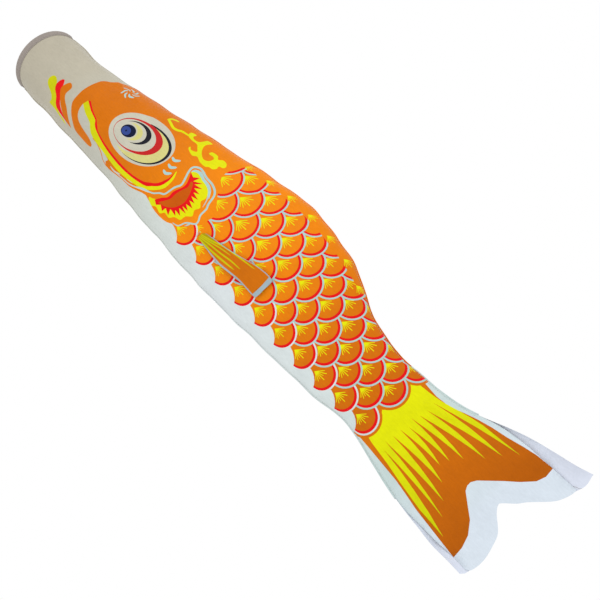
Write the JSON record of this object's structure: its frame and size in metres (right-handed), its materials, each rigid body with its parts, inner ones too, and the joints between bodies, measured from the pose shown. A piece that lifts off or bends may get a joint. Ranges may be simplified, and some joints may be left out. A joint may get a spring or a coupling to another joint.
{
  "type": "carp streamer",
  "caption": "Carp-shaped cloth windsock with a round wire mouth hoop, flattening body, forked open tail and two loose pectoral fins.",
  "frame": {"origin": "centre of the mouth hoop", "axes": "+Z out of the mouth, the body hangs down -Z; +X towards the back, -X towards the belly; -Y out of the left flank"},
  "size_m": [0.2016, 0.1142, 1.0145],
  "materials": {
    "galvanised_wire": "satin",
    "ferrule": "satin",
    "hem_cloth": "matte",
    "head_cloth": "satin",
    "trunk_cloth": "satin",
    "stock_cloth": "satin",
    "tail_cloth": "satin",
    "seam_cloth": "matte",
    "fold_cloth": "satin",
    "fin_cloth": "satin",
    "thread": "matte"
  },
  "bodies": {
    "mouth": {"mouth_ring": "galvanised_wire", "ring_ferrule": "ferrule", "mouth_hem_left": "hem_cloth", "mouth_hem_right": "hem_cloth", "head_left": "head_cloth", "head_right": "head_cloth", "back_seam_head": "seam_cloth", "belly_seam_head": "seam_cloth", "fold_neck": "fold_cloth"},
    "trunk": {"trunk_left": "trunk_cloth", "trunk_right": "trunk_cloth", "back_seam_trunk": "seam_cloth", "belly_seam_trunk": "seam_cloth", "fold_waist": "fold_cloth", "fin_tack_left": "thread", "fin_tack_right": "thread"},
    "stock": {"stock_left": "stock_cloth", "stock_right": "stock_cloth", "back_seam_stock": "seam_cloth", "belly_seam_stock": "seam_cloth", "fold_tail": "fold_cloth"},
    "tail": {"tail_left": "tail_cloth", "tail_right": "tail_cloth", "back_seam_tail": "seam_cloth", "belly_seam_tail": "seam_cloth"},
    "fin_left": {"fin_left": "fin_cloth"},
    "fin_right": {"fin_right": "fin_cloth"}
  },
  "joints": [
    {"name": "neck_bend", "type": "hinge", "parent": "mouth", "child": "trunk", "pos_m": [0, 0, -0.285], "axis": [1, 0, 0], "range_deg": [-15, 15], "deforming": ["fold_neck"]},
    {"name": "waist_bend", "type": "hinge", "parent": "trunk", "child": "stock", "pos_m": [0, 0, -0.582], "axis": [1, 0, 0], "range_deg": [-20, 20], "deforming": ["fold_waist"]},
    {"name": "tail_bend", "type": "hinge", "parent": "stock", "child": "tail", "pos_m": [0, 0, -0.775], "axis": [1, 0, 0], "range_deg": [-30, 30], "deforming": ["fold_tail"]},
    {"name": "fin_left_lift", "type": "hinge", "parent": "trunk", "child": "fin_left", "pos_m": [-0.019, -0.03429, -0.43], "axis": [-0.9798, 0.2001, 0], "range_deg": [0, 110]},
    {"name": "fin_right_lift", "type": "hinge", "parent": "trunk", "child": "fin_right", "pos_m": [-0.019, 0.03429, -0.43], "axis": [0.9798, 0.2001, 0], "range_deg": [0, 110]}
  ]
}
